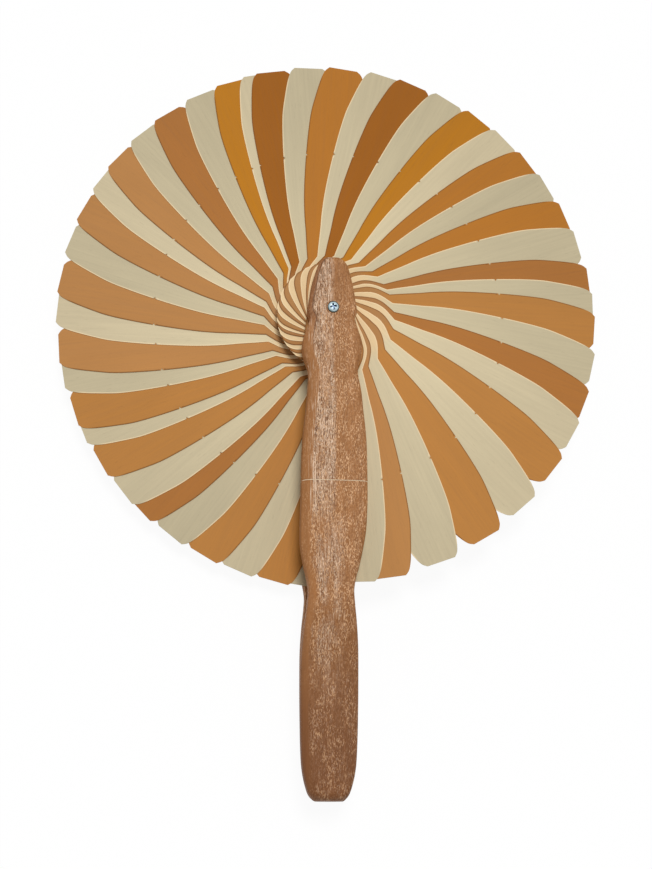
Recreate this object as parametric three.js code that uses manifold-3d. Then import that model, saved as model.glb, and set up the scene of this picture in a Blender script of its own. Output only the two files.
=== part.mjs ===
// A wooden hand fan that opens through a full turn. Forty-eight thin leaf-shaped blades, alternately
// stained and pale, and two thick guards all turn on one pivot screw near their heads. Open, the blades
// make a round wheel like a spiral stair, and the long ends of the two guards lie one over the other as
// the handle. The fan lies on the back of its rear guard: the pivot axis is +Z, the handle points to -Y,
// and the origin is where the pivot axis meets the surface that the fan lies on. Sizes are millimetres.
import * as THREE from "three";
import { mergeVertices } from "three/addons/utils/BufferGeometryUtils.js";
import Module from "manifold-3d";

const wasm = await Module();
wasm.setup();

// How far the fan opens, and how many blades share that turn.
const bladeCount = 48;
const fullTurn = 2 * Math.PI;

// The two handle halves don't lie quite one over the other: the rear guard stands a little further round.
const rearGuardTurn = THREE.MathUtils.degToRad(0.3);

// Step from each blade to the next, as shares of an even step, counter-clockwise from the front guard.
// The last share is the step from the last blade to the rear guard. A hand-opened fan is uneven.
const stepShares = [
  0.16, 0.69, 0.9, 1.5, 1.5, 1.45, 1.4, 1.2, 1, 1.15, 1.15, 0.7, 0.8, 1.2, 0.95, 1.05, 0.9,
  1, 1, 1.1, 1.15, 0.9, 1.25, 1.05, 1.15, 0.4, 0.85, 1, 1.15, 0.95, 1.05, 0.8, 1.05,
  1.05, 1.2, 0.9, 1.2, 0.75, 1.15, 0.55, 1.1, 1.05, 0.7, 1.1, 1.1, 1.05, 1.05, 0.9, 0.6,
];

// Blade, measured from the pivot towards its tip, half-widths from its centre line.
const bladeThickness = 0.32;
const slipGap = 0.04;
const bladeReach = 150;
const bladeTipHalfWidth = 8;
const bladeTipSlant = 1.1;
const bladeCornerLength = 9;
const bladeCornerHalfWidth = 13;
const bladeHalfWidth = 18.5;
const bladeWideShare = 0.57;
const bladeWaistReach = 33.3;
const bladeWaistHalfWidth = 14.1;
const bladeLobeReach = 20.5;
const bladeLobeHalfWidth = 17.9;
const bladeNeckReach = 3;
const bladeNeckHalfWidth = 13.5;
const bladeHeadReach = 29.6;
const bladeHeadEndHalfWidth = 2.2;
const bladeCoveredInset = 2.4;

// The blade's edge between those places: shares of the way along and of the change in width.
const bladeHeadShares = [[0.04, 0.21], [0.11, 0.4], [0.2, 0.53], [0.33, 0.66], [0.51, 0.79], [0.75, 0.9]];
const bladeRiseShares = [[0.34, 0.34], [0.57, 0.64], [0.8, 0.86]];
const bladeFallShares = [[0.31, 0.09], [0.55, 0.34], [0.78, 0.68]];
const bladeBellyShares = [[0.13, 0.19], [0.32, 0.44], [0.47, 0.68], [0.7, 0.91]];
const bladeTaperShares = [[0.33, 0.05], [0.57, 0.18], [0.68, 0.3], [0.78, 0.49]];
const bladeCornerShares = [[0.44, 0.26], [0.78, 0.57]];

// Nicks in both edges of a blade, which hold the thread that links it to its neighbours.
const nickReach = 95.5;
const nickWidth = 0.9;
const nickDepth = 0.9;

// Guard, measured from the pivot as the blade is.
const guardThickness = 12;
const guardHeadReach = 30;
const guardHeadEndHalfWidth = 4.3;
const guardHeadHalfWidth = 13.4;
const guardHeadWideReach = 2;
const guardNotchLength = 3.3;
const guardNotchHalfWidth = 12.2;
const guardLobeReach = 22.2;
const guardLobeHalfWidth = 16.1;
const guardWaistReach = 37;
const guardWaistHalfWidth = 13.3;
const guardHalfWidth = 17.7;
const guardWideShare = 0.68;
const guardTaperLength = 11.5;
const guardTaperHalfWidth = 15.2;
const guardSway = 1.5;
const guardSwayLength = 28;
const guardUnswayLength = 35;

// The guard's edge between those places, in the same shares.
const guardHeadShares = [[0.13, 0.36], [0.31, 0.58], [0.53, 0.76], [0.81, 0.93]];
const guardRiseShares = [[0.34, 0.44], [0.63, 0.82]];
const guardFallShares = [[0.43, 0.39], [0.73, 0.89]];
const guardBellyShares = [[0.12, 0.22], [0.29, 0.46], [0.55, 0.85]];
const guardTaperShares = [[0.41, 0.06], [0.78, 0.42]];

// Handle half of a guard, measured on from the blade tips. It is cranked in towards the other guard.
const handleNeckLength = 4;
const handleNeckHalfWidth = 12.1;
const handleWideLength = 55;
const handleHalfWidth = 15.2;
const handleTaperLength = 16;
const handleTaperHalfWidth = 13.8;
const handleLength = 114;
const handleEndHalfWidth = 7.6;
const handleBellyShares = [[0.14, 0.1], [0.36, 0.53], [0.63, 0.9]];
const handleFallShares = [[0.77, 0.46]];
const handleEndShares = [[0.5, 0.27], [0.81, 0.57]];
const crankClearance = 6;
const crankLength = 46;
const handleGap = 2;

// Rounding of a guard's outer edges and of its two ends.
const leftRoundWidth = 4.8;
const rightRoundWidth = 2.6;
const edgeRoundHeight = 5;
const edgeRoundLimitShare = 0.6;
const edgeRoundSteps = 3;
const endRoundLength = 5;

// Thread tied round each guard just beyond the nicks, sunk in a groove.
const threadOffset = 1;
const threadThickness = 0.4;
const threadSink = 0.1;
const grooveClearance = 0.06;

// Pivot: a pan-head screw from the front, with a washer and a nut sunk in the back of the rear guard.
const shankRadius = 1.5;
const turningClearance = 0.2;
const screwHeadRadius = 3.1;
const screwHeadHeight = 1.9;
const screwRimShare = 0.35;
const headSeatDepth = 0.5;
const headSeatClearance = 0.3;
const recessSpan = 3.6;
const recessWidth = 0.8;
const recessDepth = 1.1;
const nutAcrossFlats = 5.5;
const nutFlats = 6;
const nutThickness = 2.4;
const nutSink = 0.3;
const washerRadius = 3.6;
const washerThickness = 0.5;
const stackClearance = 0.06;
const nutPocketClearance = 0.4;

// Facets.
const guardStepsPerSpan = 2;
const boreFacets = 8;
const shankFacets = 20;
const headFacets = 28;
const domeSteps = 4;
const cutOverrun = 1;

// Levels and reaches worked out from the sizes above.
const bladePitch = bladeThickness + slipGap;
const stackHeight = bladeCount * bladePitch + slipGap;
const frontGuardLevel = guardThickness + stackHeight;
const frontFaceLevel = frontGuardLevel + guardThickness;
const crankRise = (stackHeight - handleGap) / 2;
const guardTaperReach = bladeReach - guardTaperLength;
const handleNeckReach = bladeReach + handleNeckLength;
const handleReach = bladeReach + handleLength;
const threadReach = nickReach + threadOffset;

const bladeStain = new THREE.MeshStandardMaterial({ color: 0xb8763a, roughness: 0.6, metalness: 0 });
const bladePale = new THREE.MeshStandardMaterial({ color: 0xccc19b, roughness: 0.6, metalness: 0 });
const guardWood = new THREE.MeshStandardMaterial({ color: 0x9c6b4b, roughness: 0.75, metalness: 0 });
const threadCotton = new THREE.MeshStandardMaterial({ color: 0xe0c3a0, roughness: 0.9, metalness: 0 });
const platedSteel = new THREE.MeshStandardMaterial({ color: 0xa9b6bd, roughness: 0.35, metalness: 1 });

// A geometry as a manifold solid.
function toSolid(geometry) {
  const bare = geometry.index ? geometry.toNonIndexed() : geometry.clone();
  const positions = new THREE.BufferGeometry().setAttribute("position", bare.getAttribute("position"));
  const merged = mergeVertices(positions);
  return new wasm.Manifold(
    new wasm.Mesh({
      numProp: 3,
      vertProperties: merged.attributes.position.array,
      triVerts: new Uint32Array(merged.index.array),
    }),
  );
}

// A manifold solid as a geometry.
function toGeometry(solid) {
  const mesh = solid.getMesh();
  const geometry = new THREE.BufferGeometry();
  geometry.setAttribute("position", new THREE.BufferAttribute(mesh.vertProperties, mesh.numProp));
  geometry.setIndex(new THREE.BufferAttribute(mesh.triVerts, 1));
  geometry.computeVertexNormals();
  return geometry;
}

function namedMesh(name, geometry, material) {
  const mesh = new THREE.Mesh(geometry, material);
  mesh.name = name;
  return mesh;
}

// An upright cylinder from one level to another, on the pivot axis.
function postGeometry(radius, low, high, facets) {
  const geometry = new THREE.CylinderGeometry(radius, radius, high - low, facets);
  geometry.rotateX(Math.PI / 2);
  geometry.translate(0, 0, (low + high) / 2);
  return geometry;
}

function boxGeometry(low, high) {
  const size = new THREE.Vector3().subVectors(high, low);
  const centre = new THREE.Vector3().addVectors(high, low).multiplyScalar(0.5);
  return new THREE.BoxGeometry(size.x, size.y, size.z).translate(centre.x, centre.y, centre.z);
}

// A point of an outline: its reach from the pivot and its half-width.
function station(reach, halfWidth) {
  return new THREE.Vector3(reach, halfWidth, 0);
}

// Stations between two others, by their shares of the way along and of the change in width.
function between(start, end, shares) {
  return shares.map(([reachShare, widthShare]) =>
    station(
      THREE.MathUtils.lerp(start.x, end.x, reachShare),
      THREE.MathUtils.lerp(start.y, end.y, widthShare),
    ),
  );
}

// The half-width at a reach, along a row of outline points.
function halfWidthAt(points, reach) {
  const next = points.findIndex((point) => point.x >= reach);
  const before = points[next - 1];
  const share = (reach - before.x) / (points[next].x - before.x);
  return THREE.MathUtils.lerp(before.y, points[next].y, share);
}

// One side of a blade, from the end of its head to its tip corner, slimmer by the inset in between.
function bladeSide(inset) {
  const headEnd = station(-bladeHeadReach, bladeHeadEndHalfWidth);
  const neck = station(bladeNeckReach, bladeNeckHalfWidth);
  const lobe = station(bladeLobeReach, bladeLobeHalfWidth - inset);
  const waist = station(bladeWaistReach, bladeWaistHalfWidth - inset);
  const wide = station(bladeReach * bladeWideShare, bladeHalfWidth - inset);
  const corner = station(bladeReach - bladeCornerLength, bladeCornerHalfWidth);
  return [
    headEnd,
    ...between(headEnd, neck, bladeHeadShares),
    neck,
    ...between(neck, lobe, bladeRiseShares),
    lobe,
    ...between(lobe, waist, bladeFallShares),
    waist,
    ...between(waist, wide, bladeBellyShares),
    wide,
    ...between(wide, corner, bladeTaperShares),
    corner,
  ];
}

// The rounded end of one side of a blade, up to the flat end. The end slants, so its sides differ.
function bladeTip(reach) {
  const corner = station(bladeReach - bladeCornerLength, bladeCornerHalfWidth);
  const tip = station(reach, bladeTipHalfWidth);
  return [...between(corner, tip, bladeCornerShares), tip];
}

// The side of a blade with the nick for the thread let into it.
function nickedSide(inset) {
  const side = bladeSide(inset);
  const edgeHalfWidth = halfWidthAt(side, nickReach);
  const nick = [
    station(nickReach - nickWidth / 2, edgeHalfWidth),
    station(nickReach, edgeHalfWidth - nickDepth),
    station(nickReach + nickWidth / 2, edgeHalfWidth),
  ];
  const before = side.filter((point) => point.x < nick[0].x);
  const after = side.filter((point) => point.x > nick[2].x);
  return [...before, ...nick, ...after];
}

// The blade lies flat with its tip towards -Y and its centre line on X = 0. Its left side, which the
// blade above it or the front guard covers, is the slimmer one.
function bladeGeometry() {
  const leftEdge = [...nickedSide(bladeCoveredInset), ...bladeTip(bladeReach - bladeTipSlant / 2)];
  const rightEdge = [...nickedSide(0), ...bladeTip(bladeReach + bladeTipSlant / 2)];
  const left = leftEdge.map((point) => new THREE.Vector2(-point.y, -point.x));
  const right = rightEdge.map((point) => new THREE.Vector2(point.y, -point.x));
  const outline = new THREE.Shape([...left, ...right.reverse()]);
  const bore = new THREE.Path();
  bore.absarc(0, 0, shankRadius + turningClearance, 0, fullTurn, true);
  outline.holes.push(bore);
  return new THREE.ExtrudeGeometry(outline, {
    depth: bladeThickness,
    bevelEnabled: false,
    curveSegments: boreFacets,
  });
}

// How far round each blade stands from the front guard, as an angle.
function bladeTurns() {
  const steps = Array.from({ length: bladeCount + 1 }, (_, index) => stepShares[index % stepShares.length]);
  const total = steps.reduce((sum, share) => sum + share, 0);
  let turned = 0;
  return steps.slice(0, bladeCount).map((share) => {
    turned += (share * fullTurn) / total;
    return turned;
  });
}

// Blade 0 lies next to the front guard, and each later one a step lower and further round.
function makeBlades() {
  const geometry = bladeGeometry();
  return bladeTurns().map((turn, index) => {
    const number = String(index).padStart(2, "0");
    const blade = namedMesh(`blade_${number}`, geometry, index % 2 ? bladePale : bladeStain);
    blade.rotation.z = turn;
    blade.position.z = frontGuardLevel - (index + 1) * bladePitch;
    return blade;
  });
}

// The blade half of a guard's outline, from its head to where it tapers beside the blade tips.
function guardBladeHalf() {
  const headEnd = station(-guardHeadReach, guardHeadEndHalfWidth);
  const headWide = station(guardHeadWideReach, guardHeadHalfWidth);
  const notch = station(guardHeadWideReach + guardNotchLength, guardNotchHalfWidth);
  const lobe = station(guardLobeReach, guardLobeHalfWidth);
  const waist = station(guardWaistReach, guardWaistHalfWidth);
  const wide = station(bladeReach * guardWideShare, guardHalfWidth);
  const taper = station(guardTaperReach, guardTaperHalfWidth);
  return [
    headEnd,
    ...between(headEnd, headWide, guardHeadShares),
    headWide,
    notch,
    ...between(notch, lobe, guardRiseShares),
    lobe,
    ...between(lobe, waist, guardFallShares),
    waist,
    ...between(waist, wide, guardBellyShares),
    wide,
    ...between(wide, taper, guardTaperShares),
    taper,
  ];
}

// The handle half of a guard's outline, from the blade tips to its end.
function guardHandleHalf() {
  const neck = station(handleNeckReach, handleNeckHalfWidth);
  const wide = station(bladeReach + handleWideLength, handleHalfWidth);
  const taper = station(handleReach - handleTaperLength, handleTaperHalfWidth);
  const end = station(handleReach, handleEndHalfWidth);
  return [
    neck,
    ...between(neck, wide, handleBellyShares),
    wide,
    ...between(wide, taper, handleFallShares),
    taper,
    ...between(taper, end, handleEndShares),
    end,
  ];
}

// Smooth points all along one side of a guard.
function guardStations() {
  const stations = [...guardBladeHalf(), ...guardHandleHalf()];
  const curve = new THREE.CatmullRomCurve3(stations, false, "centripetal");
  return curve.getPoints(guardStepsPerSpan * (stations.length - 1));
}

// Half of a guard's cross-section, up its side from its flat inner face and over the rounded edge.
function sectionHalf(halfWidth, height, inset, edgeWidth) {
  const roundWidth = Math.min(edgeWidth, halfWidth * edgeRoundLimitShare);
  const roundHeight = Math.min(edgeRoundHeight, height * edgeRoundLimitShare);
  const points = [new THREE.Vector2(halfWidth - inset, inset)];
  for (let step = 0; step <= edgeRoundSteps; step += 1) {
    const turn = (step / edgeRoundSteps) * (Math.PI / 2);
    points.push(
      new THREE.Vector2(
        halfWidth - roundWidth + (roundWidth - inset) * Math.cos(turn),
        height - roundHeight + (roundHeight - inset) * Math.sin(turn),
      ),
    );
  }
  return points;
}

function sectionLoop(halfWidth, height, inset = 0) {
  const right = sectionHalf(halfWidth, height, inset, rightRoundWidth);
  const left = sectionHalf(halfWidth, height, inset, leftRoundWidth);
  const turned = left.map((point) => new THREE.Vector2(-point.x, point.y)).reverse();
  return [...right, ...turned];
}

// How far the middle of the hand-cut guard swings to one side, along its blade half.
function swayAt(reach) {
  const { smoothstep } = THREE.MathUtils;
  const out = smoothstep(reach, guardWaistReach - guardSwayLength / 2, guardWaistReach + guardSwayLength / 2);
  return guardSway * (out - smoothstep(reach, guardTaperReach - guardUnswayLength, guardTaperReach));
}

// How far the handle half of the guard is cranked towards the other guard.
function crankAt(reach) {
  const start = bladeReach + crankClearance;
  return crankRise * THREE.MathUtils.smoothstep(reach, start, start + crankLength);
}

// The guard's thickness, rounded down towards both ends.
function heightAt(reach) {
  const toEnd = Math.min(reach + guardHeadReach, handleReach - reach);
  const inside = THREE.MathUtils.clamp(1 - toEnd / endRoundLength, 0, 1);
  return guardThickness - edgeRoundHeight * (1 - Math.sqrt(1 - inside ** 2));
}

// A lofted guard with its flat inner face on z = 0 and its rounded outer face above, tip towards -Y.
function guardLoft() {
  const stations = guardStations();
  const rings = stations.map((point) =>
    sectionLoop(point.y, heightAt(point.x)).map(
      (corner) => new THREE.Vector3(corner.x + swayAt(point.x), -point.x, corner.y - crankAt(point.x)),
    ),
  );
  const around = rings[0].length;
  const positions = rings.flat().flatMap((point) => point.toArray());
  const triangles = [];
  for (let ring = 0; ring < rings.length - 1; ring += 1) {
    for (let corner = 0; corner < around; corner += 1) {
      const here = ring * around + corner;
      const beside = ring * around + ((corner + 1) % around);
      triangles.push(here, beside, here + around, beside, beside + around, here + around);
    }
  }
  const lastRing = (rings.length - 1) * around;
  for (let corner = 1; corner < around - 1; corner += 1) {
    triangles.push(0, corner + 1, corner);
    triangles.push(lastRing, lastRing + corner, lastRing + corner + 1);
  }
  const geometry = new THREE.BufferGeometry();
  geometry.setAttribute("position", new THREE.Float32BufferAttribute(positions, 3));
  geometry.setIndex(triangles);
  return geometry;
}

// A band round the guard at the thread, between two depths below the guard's surface.
function bandGeometry(outerDepth, innerDepth, width) {
  const halfWidth = halfWidthAt(guardStations(), threadReach);
  const outline = new THREE.Shape(sectionLoop(halfWidth, guardThickness, outerDepth));
  outline.holes.push(new THREE.Path(sectionLoop(halfWidth, guardThickness, innerDepth)));
  const geometry = new THREE.ExtrudeGeometry(outline, { depth: width, bevelEnabled: false });
  geometry.rotateX(Math.PI / 2);
  geometry.translate(swayAt(threadReach), width / 2 - threadReach, 0);
  return geometry;
}

// One closed turn of thread, sunk below every face of the guard so that it clears the blades.
function threadGeometry() {
  return bandGeometry(threadSink, threadSink + threadThickness, threadThickness);
}

function grooveCutter() {
  const floor = threadSink + threadThickness + grooveClearance;
  return bandGeometry(-cutOverrun, floor, threadThickness + 2 * grooveClearance);
}

// Turns a piece made for the front guard over, to serve the rear guard.
function turnedOver(geometry) {
  const flipped = geometry.clone().rotateY(Math.PI);
  flipped.translate(0, 0, guardThickness);
  return flipped;
}

// The hole for the pivot through a guard.
function guardBore() {
  const radius = shankRadius + turningClearance;
  return postGeometry(radius, -cutOverrun, guardThickness + cutOverrun, shankFacets);
}

function makeFrontGuard() {
  const seat = postGeometry(
    screwHeadRadius + headSeatClearance,
    guardThickness - headSeatDepth,
    guardThickness + cutOverrun,
    headFacets,
  );
  const solid = toSolid(guardLoft())
    .subtract(toSolid(guardBore()))
    .subtract(toSolid(seat))
    .subtract(toSolid(grooveCutter()));
  const guard = namedMesh("front_guard", toGeometry(solid), guardWood);
  guard.position.z = frontGuardLevel;
  const thread = namedMesh("front_guard_thread", threadGeometry(), threadCotton);
  thread.position.z = frontGuardLevel;
  return [guard, thread];
}

// The nut pocket's depth leaves the nut just below the back of the guard.
const nutPocketDepth = nutSink + nutThickness + washerThickness + 2 * stackClearance;

function makeRearGuard() {
  const pocket = postGeometry(washerRadius + nutPocketClearance, -cutOverrun, nutPocketDepth, headFacets);
  const solid = toSolid(turnedOver(guardLoft()))
    .subtract(toSolid(guardBore()))
    .subtract(toSolid(pocket))
    .subtract(toSolid(turnedOver(grooveCutter())));
  const guard = namedMesh("rear_guard", toGeometry(solid), guardWood);
  const thread = namedMesh("rear_guard_thread", turnedOver(threadGeometry()), threadCotton);
  guard.rotation.z = rearGuardTurn;
  thread.rotation.z = rearGuardTurn;
  return [guard, thread];
}

// A pan head with a cross recess, on a plain shank whose end is flush with the back of the rear guard.
function makePivotScrew() {
  const underHead = frontFaceLevel - headSeatDepth + stackClearance;
  const profile = [
    new THREE.Vector2(0, 0),
    new THREE.Vector2(shankRadius, 0),
    new THREE.Vector2(shankRadius, underHead),
    new THREE.Vector2(screwHeadRadius, underHead),
  ];
  const rimHeight = screwHeadHeight * screwRimShare;
  for (let step = 0; step < domeSteps; step += 1) {
    const turn = (step / domeSteps) * (Math.PI / 2);
    profile.push(
      new THREE.Vector2(
        screwHeadRadius * Math.cos(turn),
        underHead + rimHeight + (screwHeadHeight - rimHeight) * Math.sin(turn),
      ),
    );
  }
  profile.push(new THREE.Vector2(0, underHead + screwHeadHeight));
  const body = new THREE.LatheGeometry(profile, shankFacets).rotateX(Math.PI / 2);
  const floor = underHead + screwHeadHeight - recessDepth;
  const above = underHead + screwHeadHeight + cutOverrun;
  const slot = boxGeometry(
    new THREE.Vector3(-recessSpan / 2, -recessWidth / 2, floor),
    new THREE.Vector3(recessSpan / 2, recessWidth / 2, above),
  );
  const crossSlot = slot.clone().rotateZ(Math.PI / 2);
  const solid = toSolid(body).subtract(toSolid(slot).add(toSolid(crossSlot)));
  return namedMesh("pivot_screw", toGeometry(solid), platedSteel);
}

// A flat ring on the pivot axis, with a bore that clears the shank.
function ringGeometry(radius, low, high, facets) {
  const boreRadius = shankRadius + stackClearance * 2;
  const bore = postGeometry(boreRadius, low - cutOverrun, high + cutOverrun, shankFacets);
  return toGeometry(toSolid(postGeometry(radius, low, high, facets)).subtract(toSolid(bore)));
}

function makeFasteners() {
  const nutTop = nutSink + nutThickness;
  const washerLow = nutTop + stackClearance;
  const hexRadius = nutAcrossFlats / 2 / Math.cos(Math.PI / nutFlats);
  const washer = ringGeometry(washerRadius, washerLow, washerLow + washerThickness, headFacets);
  const nut = ringGeometry(hexRadius, nutSink, nutTop, nutFlats);
  return [
    makePivotScrew(),
    namedMesh("pivot_washer", washer, platedSteel),
    namedMesh("pivot_nut", nut, platedSteel),
  ];
}

const fan = new THREE.Group();
fan.add(...makeRearGuard(), ...makeBlades(), ...makeFrontGuard(), ...makeFasteners());

export default fan;
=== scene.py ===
# A round wooden hand fan, opened through a full turn. Forty-eight thin blades, alternately stained and
# pale, and two thick guards turn on one pivot screw. The fan lies on the back of its rear guard: the pivot
# axis is +Z, the handle points to -Y, and the origin is on the pivot axis at the back of the rear guard.
# Shapes are written in millimetres and become metres when they are made into meshes.
import math
import random

import bmesh
import bpy
from bpy.props import FloatProperty, FloatVectorProperty, IntProperty, PointerProperty
from bpy.types import Operator, Panel, PropertyGroup
from mathutils import Matrix, Vector


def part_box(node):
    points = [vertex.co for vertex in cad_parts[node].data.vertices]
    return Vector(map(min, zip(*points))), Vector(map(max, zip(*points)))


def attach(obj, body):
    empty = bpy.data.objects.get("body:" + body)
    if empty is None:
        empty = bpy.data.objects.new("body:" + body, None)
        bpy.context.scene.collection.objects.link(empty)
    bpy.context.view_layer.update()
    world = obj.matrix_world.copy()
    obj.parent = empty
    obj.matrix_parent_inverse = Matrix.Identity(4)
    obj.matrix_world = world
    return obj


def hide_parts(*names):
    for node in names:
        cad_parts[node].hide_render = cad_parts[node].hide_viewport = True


bl_info = {
    "name": "Wooden hand fan",
    "version": (1, 0, 0),
    "blender": (4, 5, 0),
    "location": "3D View > Sidebar > Hand fan",
    "description": "Makes a round wooden hand fan with its blades, guards, thread and pivot",
    "category": "Object",
}

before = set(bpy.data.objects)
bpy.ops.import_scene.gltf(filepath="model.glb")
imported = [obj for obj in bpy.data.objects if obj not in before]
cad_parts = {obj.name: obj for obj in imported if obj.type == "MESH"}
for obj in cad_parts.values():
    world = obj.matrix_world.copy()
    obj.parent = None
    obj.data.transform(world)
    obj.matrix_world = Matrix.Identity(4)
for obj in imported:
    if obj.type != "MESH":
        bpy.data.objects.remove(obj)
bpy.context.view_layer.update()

MILLIMETRE = 0.001
BLADE_NAMES = sorted(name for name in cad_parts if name.startswith("blade_"))

# Outlines, from the pivot towards the tip: (reach, half-width). The waist of a blade is a sharp corner.
BLADE_HEAD = [
    (-29.6, 2.2),
    (-28.296, 4.573),
    (-26.014, 6.72),
    (-23.08, 8.189),
    (-18.842, 9.658),
    (-12.974, 11.127),
    (-5.15, 12.37),
    (3.0, 13.5),
    (8.95, 14.996),
    (12.975, 16.316),
    (17.0, 17.284),
    (20.5, 17.9),
    (24.468, 17.558),
    (27.54, 16.608),
    (30.484, 15.316),
    (33.3, 14.1),
]
BLADE_LEAF = [
    (33.3, 14.1),
    (40.086, 14.936),
    (50.004, 16.036),
    (57.834, 17.092),
    (69.84, 18.104),
    (85.5, 18.5),
    (103.815, 18.225),
    (117.135, 17.51),
    (123.24, 16.85),
    (128.79, 15.805),
    (141.0, 13.0),
    (144.96, 11.7),
    (148.02, 10.15),
    (150.0, 8.0),
]
TIP_SLANT = 0.55
TIP_CORNER_REACH = 141.0
COVERED_INSET = 2.4
BLADE_BORE = 1.7
NICK_REACH = 95.5
NICK_WIDTH = 1.1
NICK_DEPTH = 1.1
LINE_INSET = 1.1

GUARD_SIDE = [
    (-30.0, 4.3),
    (-25.84, 7.576),
    (-20.08, 9.578),
    (-13.04, 11.216),
    (-4.08, 12.763),
    (2.0, 13.4),
    (5.3, 12.2),
    (11.046, 13.916),
    (15.947, 15.398),
    (22.2, 16.1),
    (28.564, 15.008),
    (33.004, 13.608),
    (37.0, 13.3),
    (44.8, 14.268),
    (55.85, 15.324),
    (72.75, 17.04),
    (102.0, 17.7),
    (116.965, 17.55),
    (130.47, 16.65),
    (138.5, 15.2),
    (154.0, 12.1),
    (161.14, 12.41),
    (172.36, 13.743),
    (186.13, 14.89),
    (205.0, 15.2),
    (238.11, 14.556),
    (248.0, 13.8),
    (256.0, 12.126),
    (260.96, 10.266),
    (264.0, 7.6),
]
GUARD_HEIGHT = 12.0
GUARD_END_ROUND = 5.0
GUARD_SWAY = 1.5
CRANK_DROP = 7.66
CRANK_START = 156.0
CRANK_END = 202.0
REAR_TURN = math.radians(0.3)
THREAD_REACH = 96.5
THREAD_DEPTH = 0.25
GROOVE_HALF = 0.26
GROOVE_DEPTH = 0.56
STRAND_STEP = 0.14

SCREW_HEAD_HEIGHT = 1.85
SCREW_SEAT_RADIUS = 3.4
SCREW_SEAT_DEPTH = 0.5
NUT_POCKET_RADIUS = 4.0
NUT_POCKET_DEPTH = 3.32
NUT_ACROSS_FLATS = 5.5
NUT_BORE = 1.62
WASHER_RADIUS = 3.6
FLOOR_REACH = 3000

# The blades whose wood took the stain differently, or grew paler or duller, by the name of their shade.
# They are counted counter-clockwise from the front guard. All others have the plain colour of their kind.
SHADED_BLADES = {
    "weak_stain": (2, 30, 32, 34, 36),
    "deep_stain": (8, 12, 28, 42),
    "warm_stain": (0, 14, 16, 22),
    "orange_stain": (18, 26),
    "dark_stain": (20, 24),
    "bright_pale": (5, 7, 17, 25, 31, 35),
    "dull_pale": (9, 11, 13, 15, 19, 23, 27, 29, 33, 37, 43),
}


def linear(red, green, blue):
    """A colour as it is seen, each part from 0 to 255, as the linear colour that a shader takes."""
    parts = [part / 255 for part in (red, green, blue)]
    return [part / 12.92 if part <= 0.04045 else ((part + 0.055) / 1.055) ** 2.4 for part in parts]


def paint(name, description, red, green, blue):
    """A colour property, with its default as it is seen."""
    return FloatVectorProperty(
        name=name,
        description=description,
        default=linear(red, green, blue),
        size=3,
        min=0,
        max=1,
        subtype="COLOR",
    )


def length(name, description, millimetres):
    """A length property, with its default in millimetres."""
    return FloatProperty(
        name=name,
        description=description,
        default=millimetres * MILLIMETRE,
        min=0,
        unit="LENGTH",
        precision=5,
    )


def share(name, description, default):
    """A property between nothing and all."""
    return FloatProperty(name=name, description=description, default=default, min=0, max=1, subtype="FACTOR")


class FanBladeSettings(PropertyGroup):
    stain: paint("Stain", "Colour of the stained blades", 184, 125, 60)
    pale: paint("Pale wood", "Colour of the unstained blades", 211, 196, 161)
    weak_stain: paint("Weak stain", "Colour of the blades that took little stain", 184, 129, 72)
    deep_stain: paint("Deep stain", "Colour of the blades that took much stain", 170, 110, 50)
    warm_stain: paint("Warm stain", "Colour of the more orange blades", 178, 113, 36)
    orange_stain: paint("Orange stain", "Colour of the brightest orange blades", 184, 118, 18)
    dark_stain: paint("Dark stain", "Colour of the darkest orange blades", 156, 92, 14)
    bright_pale: paint("Bright wood", "Colour of the palest blades", 218, 202, 166)
    dull_pale: paint("Dull wood", "Colour of the greyer pale blades", 204, 190, 156)
    stained_hub: paint("Stained hub", "Colour of the stained blades round the pivot", 160, 122, 82)
    pale_hub: paint("Pale hub", "Colour of the unstained blades round the pivot", 238, 200, 146)
    # Painted shadow: the dark line along a stained blade stands for the shade in the gap between blades.
    stained_edge_shadow: paint("Stained edge", "Dark line along the edge of a stained blade", 116, 70, 24)
    # The bright line along a pale blade is partly its pale cut edge, partly a painted highlight.
    pale_edge_highlight: paint("Pale edge", "Bright line along the edge of a pale blade", 250, 224, 180)
    stained_fall: share("Stained fall", "How much darker a stained blade gets towards its tip", 0.08)
    pale_fall: share("Pale fall", "How much darker a pale blade gets towards its tip", 0.2)
    edge_break: length("Edge break", "How far the sharp edges are taken off", 0.06)


class FanGuardSettings(PropertyGroup):
    heart: paint("Heartwood", "Colour of the plain wood", 164, 112, 68)
    silver: paint("Figure", "Colour of the pale figure left of the middle", 180, 139, 108)
    fleck: paint("Fleck", "Colour of the pale flecks in the figure", 240, 208, 178)
    ember: paint("Warm fleck", "Colour of the small flecks in the plain wood", 236, 188, 142)
    pore: paint("Pore", "Colour of the pores", 102, 62, 36)
    bevel: paint("Bevel", "Colour of the rounded left edge", 168, 114, 68)
    # Painted shade: the rounded left edge beside the head faces away from the light.
    shade: paint("Head bevel", "Colour of the rounded left edge beside the head", 140, 90, 56)
    grip: paint("Grip", "Colour of the handle's end, darkened by hands", 122, 78, 46)
    inner_round: length("Inner edge", "Rounding of the edges next to the blades", 0.7)
    left_round: length("Left edge", "Width of the rounding along the left edge", 4.8)
    right_round: length("Right edge", "Width of the rounding along the right edge", 2.0)
    crown: length("Crown", "How far the outer face falls from its middle to its rounded edges", 0.45)


class FanThreadSettings(PropertyGroup):
    cotton: paint("Cotton", "Colour of the thread", 255, 232, 198)
    ply_radius: length("Ply", "Radius of one of the two strands", 0.14)
    ply_offset: length("Ply offset", "How far a strand lies from the thread's middle", 0.09)
    twist: length("Twist", "Length of one full twist", 1.1)


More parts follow.
